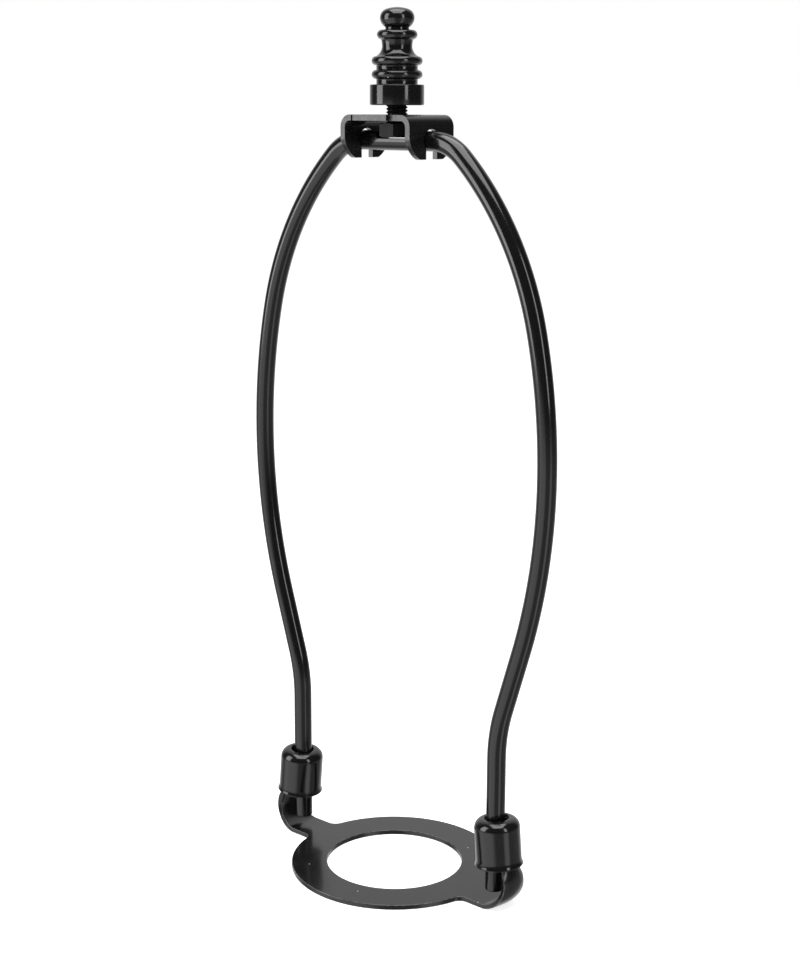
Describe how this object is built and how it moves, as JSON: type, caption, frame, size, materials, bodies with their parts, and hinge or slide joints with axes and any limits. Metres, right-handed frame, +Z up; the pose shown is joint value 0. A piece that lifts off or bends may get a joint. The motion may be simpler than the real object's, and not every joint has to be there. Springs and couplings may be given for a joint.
{
  "type": "lamp harp",
  "caption": "Sprung wire bow in the hollow ears of a round saddle, with two locking sleeves, a swivel stud on a folded bracket and a turned finial, to carry a lampshade.",
  "frame": {"origin": "centre of the saddle's round hole, on its underside", "axes": "+Z up through the finial, +X along the bow from foot to foot, +Y across the wire"},
  "size_m": [0.1176, 0.064, 0.258],
  "materials": {
    "enamel": "gloss"
  },
  "bodies": {
    "saddle": {"saddle": "enamel"},
    "bow": {"harp_wire": "enamel", "top_bracket": "enamel"},
    "left_ferrule": {"left_ferrule": "enamel"},
    "right_ferrule": {"right_ferrule": "enamel"},
    "stud": {"swivel_stud": "enamel"},
    "finial": {"finial": "enamel"}
  },
  "joints": [
    {"name": "harp_lift", "type": "slide", "parent": "saddle", "child": "bow", "axis": [0, 0, 1], "range_m": [0, 0.03]},
    {"name": "left_ferrule_slide", "type": "slide", "parent": "bow", "child": "left_ferrule", "axis": [0, 0, 1], "range_m": [0, 0.014]},
    {"name": "right_ferrule_slide", "type": "slide", "parent": "bow", "child": "right_ferrule", "axis": [0, 0, 1], "range_m": [0, 0.014]},
    {"name": "stud_swivel", "type": "hinge", "parent": "bow", "child": "stud", "pos_m": [0, 0, 0.2243], "axis": [0, 0, 1], "continuous": true},
    {"name": "finial_travel", "type": "slide", "parent": "stud", "child": "finial", "axis": [0, 0, 1], "range_m": [-0.00255, 0.014]}
  ]
}
